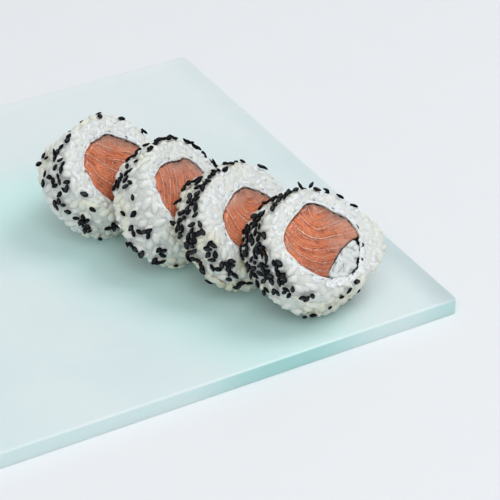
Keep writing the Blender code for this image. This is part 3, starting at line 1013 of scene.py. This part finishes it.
def seedSpots(roll, random, look):
    angles, heights, rims = [], [], []
    for start, end, count in roll["rimRows"]:
        for share in (np.arange(count) + 0.5) / count:
            angles.append(math.radians(start + (end - start) * share + random.uniform(-0.8, 0.8)))
            heights.append(roll["depth"] - random.uniform(0.0008, 0.0015))
            rims.append("row")
    for angle, height in roll["standing"]:
        angles.append(math.radians(angle))
        heights.append(height * 0.001)
        rims.append("standing")
    for angle, height, count, spreadAngle, spreadHeight in roll["seeds"]:
        for _ in range(count if count < 3 else round(count * look["richness"])):
            angles.append(math.radians(angle + random.uniform(-1, 1) * spreadAngle))
            heights.append((height + random.uniform(-1, 1) * spreadHeight) * 0.001)
            rims.append("row" if spreadHeight <= 0.8 and height > roll["depth"] * 1000 - 2.4 else "any")
    for _ in range(look["restCount"]):
        angles.append(math.radians(random.uniform(-80, 75)))
        heights.append(random.uniform(0.08, 0.8) * roll["depth"])
        rims.append("any")
    return np.array(angles), np.array(heights), rims


def layOn(roll, angle, height):
    height = min(max(height, 0.0004), roll["depth"] - 0.00035)
    return np.array(sidePoint(roll, angle, height)), np.array(sideNormal(roll, angle, height))


def sesame(look):
    random = np.random.default_rng(look["seed"])
    copies, tones = [], []
    for rollName in rollNames:
        roll = rolls[rollName]
        angles, heights, rims = seedSpots(roll, random, look)
        laid = [layOn(roll, a, h) for a, h in zip(angles, heights)]
        spots = np.array([spot for spot, _ in laid])
        kept = spread(spots, look["gap"])
        for place, number in enumerate(kept):
            normal = laid[number][1]
            near = np.sum((spots[kept[:place]] - spots[number]) ** 2, axis=1) if place else np.ones(1)
            stacked = np.min(near) < look["overlap"] ** 2
            along = np.cross(normal, (0.0, 0.0, 1.0))
            along = along / max(np.linalg.norm(along), 1e-6)
            up = np.cross(along, normal)
            lie = random.normal(0.0, 0.3) if rims[number] == "row" else random.uniform(0, math.pi)
            lie += math.pi * int(random.integers(2))
            tip = 1.4 if rims[number] == "standing" else random.normal(0.0, 0.35 if stacked else 0.14)
            axis = math.cos(lie) * along + math.sin(lie) * up + normal * tip
            thin = normal + random.normal(0.0, 0.3 if stacked else 0.2, 3)
            lifted = random.uniform(0.5, 1.0) * look["stack"] if stacked else random.uniform(-0.00015, 0.0002)
            lifted = 0.0009 if rims[number] == "standing" else lifted
            middle = spots[number] + normal * (look["proud"] + lifted)
            turn = roll["axes"] @ turnFrom(axis, thin)
            where = toWorld(roll, middle.reshape(1, 3))[0]
            size = random.uniform(0.86, 1.12) * np.ones(3)
            values = {"tone": random.uniform(0.0, 1.0)}
            copies.append((0, turn, size, where, values))

    def fit(points, owners):
        lowest = np.full(len(copies), 1.0)
        np.minimum.at(lowest, owners, points[:, 2])
        highest = np.full(len(copies), -1.0)
        np.maximum.at(highest, owners, points[:, 2])
        lift = np.maximum(plateTop + 0.00005 - lowest, 0.0) - np.maximum(highest - cadBox[1][2], 0.0)
        points[:, 2] += lift[owners]
        return points

    piece = joinCopies("sesameSeeds", seedShapes, copies, fit)
    settle(piece, [seedStuff])
    print("sesame:", len(copies), "seeds")


sesame(seedCoat)


# ---- fish and seaweed of each roll ----

fishLook = {"voxel": 0.00036, "round": 0.00035, "relief": 0.0003, "steps": 0.00014, "wander": 0.00034, "skin": 0.0026, "skinSide": 40.0}
wrapLook = {"cuts": 3, "thickness": 0.00024, "below": 0.0009, "flare": 0.0011, "proud": 0.00012}


def layersAt(roll, flat):
    # which fat lines a point lies between, as a number that runs smoothly from line to line
    past = []
    for line in roll["fatLines"]:
        corners = np.array(line) * 0.001
        first = corners[0] + (corners[0] - corners[1]) * 6.0
        last = corners[-1] + (corners[-1] - corners[-2]) * 6.0
        corners = np.vstack([first, corners, last])
        best = np.full(len(flat), 1.0)
        side = np.zeros(len(flat))
        for start, end in zip(corners, corners[1:]):
            along = end - start
            share = np.clip((flat - start) @ along / (along @ along), 0.0, 1.0)
            gap = flat - (start + share[:, None] * along)
            distance = np.hypot(gap[:, 0], gap[:, 1])
            turn = along[1] * gap[:, 0] - along[0] * gap[:, 1]
            closer = distance < best
            best = np.where(closer, distance, best)
            side = np.where(closer, np.sign(turn), side)
        past.append(best * side)
    past = np.array(past)
    count = np.minimum(np.sum(past > 0, axis=0), len(past))
    lower = np.clip(count - 1, 0, len(past) - 1)
    upper = np.clip(count, 0, len(past) - 1)
    every = np.arange(len(flat))
    a = np.abs(past[lower, every])
    b = np.abs(past[upper, every])
    between = lower + a / np.maximum(a + b, 1e-9)
    between = np.where(count == 0, -b / 0.0030, between)
    return np.where(count == len(past), len(past) - 1 + a / 0.0030, between)


def salmonPiece(rollName, look):
    roll = rolls[rollName]
    piece = solidCopy(rollName + "_fish", rollName + "_salmon")
    evenMesh(piece, look["voxel"])
    local = toRoll(roll, pointsOf(piece.data))
    radius, angle = polar(local)
    edge = lookUp(roll, "meat", angle) - radius
    swell = lookUp(roll, "fishEdge", angle) - lookUp(roll, "meat", angle)
    wander = np.array([noise.noise(Vector((math.cos(a) * 7.0, math.sin(a) * 7.0, 5.0 + len(rollName)))) for a in angle])
    swell += look["wander"] * smoothStep(wander, -0.2, 0.15) * (1.0 - lookUp(roll, "open", angle))
    local[:, :2] *= (1.0 + swell * (1.0 - smoothStep(edge, 0.0, 0.004)) / np.maximum(radius, 0.001))[:, None]
    layers = layersAt(roll, local[:, :2])
    upper = smoothStep(local[:, 2], roll["depth"] * 0.5, roll["depth"] - 0.0002)
    sag = look["round"] * (1.0 - smoothStep(edge, -0.0002, 0.0017)) ** 2
    wave = np.array([noise.noise(Vector((p[0] * 260.0, p[1] * 260.0, 3.0))) for p in local])
    step = 0.5 + 0.5 * np.cos(2 * math.pi * layers)
    local[:, 2] -= upper * (sag + look["relief"] * (0.5 + 0.5 * wave) + look["steps"] * (1.0 - step))
    setPoints(piece.data, toWorld(roll, local))
    towards = 0.5 + 0.5 * np.cos(angle - math.radians(roll["paleSide"]))
    pale = (1.0 - smoothStep(edge, 0.0008, roll["paleBand"])) * smoothStep(towards, 0.55, 0.95)
    # darker towards the bottom and along the lower edge: partly deeper red flesh, partly painted shade
    low = smoothStep(-local[:, 1], -0.002, 0.009) * roll["darkRedAndShade"] * (1.0 - pale)
    low = np.maximum(low, (1.0 - smoothStep(edge, 0.0, 0.0022)) * smoothStep(-np.sin(angle), 0.3, 0.9) * 0.6)
    setValues(piece.data, "layer", layers)
    setValues(piece.data, "pale", pale * 0.9)
    setValues(piece.data, "low", low)
    skinDepth = 0.00045 + look["skin"] * smoothStep(np.cos(angle - math.radians(look["skinSide"])), 0.25, 0.9)
    setValues(piece.data, "rimward", 1.0 - smoothStep(edge, -0.0001, skinDepth))
    settle(piece, [salmonStuff], [rollName + "_salmon"])


def noriPiece(rollName, look):
    roll = rolls[rollName]
    piece = solidCopy(rollName + "_seaweed", rollName + "_nori")
    bpy.ops.object.mode_set(mode="EDIT")
    bpy.ops.mesh.select_all(action="SELECT")
    bpy.ops.mesh.subdivide(number_cuts=look["cuts"])
    bpy.ops.object.mode_set(mode="OBJECT")
    local = toRoll(roll, pointsOf(piece.data))
    radius, angle = polar(local)
    hole = lookUp(roll, "hole", angle)
    radius = np.where(lookUp(roll, "open", angle) > 0.5, radius, np.maximum(radius, hole - look["thickness"]))
    upper = smoothStep(local[:, 2], roll["depth"] * 0.6, roll["depth"])
    ragged = np.array([noise.noise(Vector((math.cos(a) * 11.0, math.sin(a) * 11.0, 1.5))) for a in angle])
    tooth = smoothStep(ragged, 0.1, 0.4)
    hidden = smoothStep(angle % (2 * math.pi), 3.95, 4.02) * (1.0 - smoothStep(angle % (2 * math.pi), 4.82, 4.90))
    hidden = hidden * (rollName == "roll_4")
    radius += look["flare"] * tooth * (1.0 - hidden) * smoothStep(local[:, 2], roll["depth"] - 0.0012, roll["depth"])
    local[:, 2] += upper * (look["proud"] * tooth - look["below"] * (1.0 - tooth)) * (1.0 - hidden)
    local[:, 2] -= upper * hidden * 0.0018
    local[:, 2] = np.minimum(local[:, 2], roll["depth"] + look["proud"])
    local[:, 0] = radius * np.cos(angle)
    local[:, 1] = radius * np.sin(angle)
    setPoints(piece.data, toWorld(roll, local))
    piece.data.polygons.foreach_set("use_smooth", [False] * len(piece.data.polygons))
    settle(piece, [noriStuff], [rollName + "_nori"])


for rollName in rollNames:
    salmonPiece(rollName, fishLook)
    noriPiece(rollName, wrapLook)
print("fish and seaweed in place")

for shape in grainShapes + seedShapes:
    bpy.data.objects.remove(shape)


# ---- floor, light and camera ----

studio = {
    "floor": (0.83, 0.845, 0.87),
    "sky": (0.96, 0.985, 1.0),
    "skyStrength": 0.50,
    "topPower": 3.5,
    "topPlace": (0.3, -0.3, 2.2),
    "keyPower": 12.0,
    "keySize": 1.1,
    "keyPlace": (1.1, -0.2, 1.75),
    "fillPower": 14.0,
    "fillPlace": (-0.6, -1.2, 1.6),
}

bpy.ops.mesh.primitive_plane_add(size=8.0, location=(0, 0, 0))
floor = bpy.context.active_object
floor.name = "studioFloor"
floorStuff, floorTree, floorShader = newMaterial("paleFloor")
speckle = noiseOf(floorTree, objectPoint(floorTree), 40.0, 3.0)
tint = mixColour(floorTree, mapRange(floorTree, speckle, 0.3, 0.7, 0.0, 0.06), studio["floor"], (0.9, 0.9, 0.9))
floorTree.links.new(tint, floorShader.inputs["Base Color"])
floorShader.inputs["Roughness"].default_value = 0.7
floor.data.materials.append(floorStuff)

world = bpy.data.worlds.new("softRoom")
bpy.context.scene.world = world
world.use_nodes = True
background = world.node_tree.nodes["Background"]
background.inputs["Color"].default_value = (*studio["sky"], 1.0)
background.inputs["Strength"].default_value = studio["skyStrength"]


def softBox(name, place, target, size, power):
    data = bpy.data.lights.new(name, "AREA")
    data.shape = "DISK"
    data.size = size
    data.energy = power
    lamp = bpy.data.objects.new(name, data)
    bpy.context.scene.collection.objects.link(lamp)
    lamp.location = place
    lamp.rotation_euler = (Vector(target) - Vector(place)).to_track_quat("-Z", "Y").to_euler()
    return lamp


softBox("keyLight", studio["keyPlace"], (0.05, 0.0, 0.02), studio["keySize"], studio["keyPower"])
softBox("topLight", studio["topPlace"], (0.05, 0.0, 0.02), 1.6, studio["topPower"])
softBox("fillLight", studio["fillPlace"], (0.05, 0.0, 0.02), 1.8, studio["fillPower"])

cameraView = {
    "place": (-0.2339, -0.6325, 0.4594),
    "lens": 165.6,
    "yaw": 29.52,
    "pitch": 33.57,
    "roll": -0.076,
}
cameraData = bpy.data.cameras.new("camera")
cameraData.lens = cameraView["lens"]
cameraData.sensor_width = 36.0
cameraData.clip_start = 0.01
camera = bpy.data.objects.new("camera", cameraData)
bpy.context.scene.collection.objects.link(camera)
yaw, pitch, tip = (math.radians(cameraView[key]) for key in ("yaw", "pitch", "roll"))
ahead = Vector((math.sin(yaw) * math.cos(pitch), math.cos(yaw) * math.cos(pitch), -math.sin(pitch)))
rightWay = Vector((math.cos(yaw), -math.sin(yaw), 0.0))
upWay = rightWay.cross(ahead)
rightTipped = rightWay * math.cos(tip) + upWay * math.sin(tip)
upTipped = upWay * math.cos(tip) - rightWay * math.sin(tip)
camera.matrix_world = Matrix.Translation(cameraView["place"]) @ Matrix((rightTipped, upTipped, -ahead)).transposed().to_4x4()
bpy.context.scene.camera = camera
bpy.context.scene.view_settings.view_transform = "Standard"
print("studio ready")
